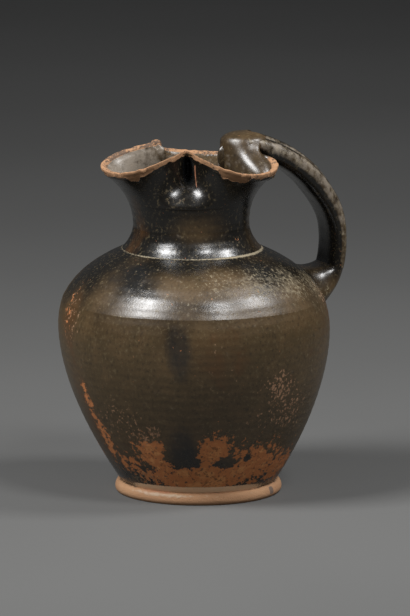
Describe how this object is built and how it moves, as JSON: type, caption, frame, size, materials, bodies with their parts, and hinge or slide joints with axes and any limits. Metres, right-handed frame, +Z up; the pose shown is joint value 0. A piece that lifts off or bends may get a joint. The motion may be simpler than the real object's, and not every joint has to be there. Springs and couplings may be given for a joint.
{
  "type": "oinochoe jug",
  "caption": "Wheel-thrown clay wine jug on a ring foot, with a full body, a narrow neck, a trefoil pouring mouth and a ribbed strap handle rising above the rim.",
  "frame": {"origin": "centre of the foot ring's resting face, on the surface that the jug stands on", "axes": "+Z up from the resting face, the spout points to -X, the handle stands at +X, and +Y completes a right-handed frame"},
  "size_m": [0.1505, 0.1366, 0.1806],
  "materials": {
    "black_slip": "semi-gloss black-brown slip on fired clay, worn",
    "bare_clay": "matt reserved orange clay"
  },
  "bodies": {
    "root": {"foot_ring": "bare_clay", "lower_body": "black_slip", "shoulder": "black_slip", "neck": "black_slip", "trefoil_mouth": "black_slip", "handle": "black_slip", "handle_upper_root": "black_slip", "handle_lower_root": "black_slip"}
  },
  "joints": []
}
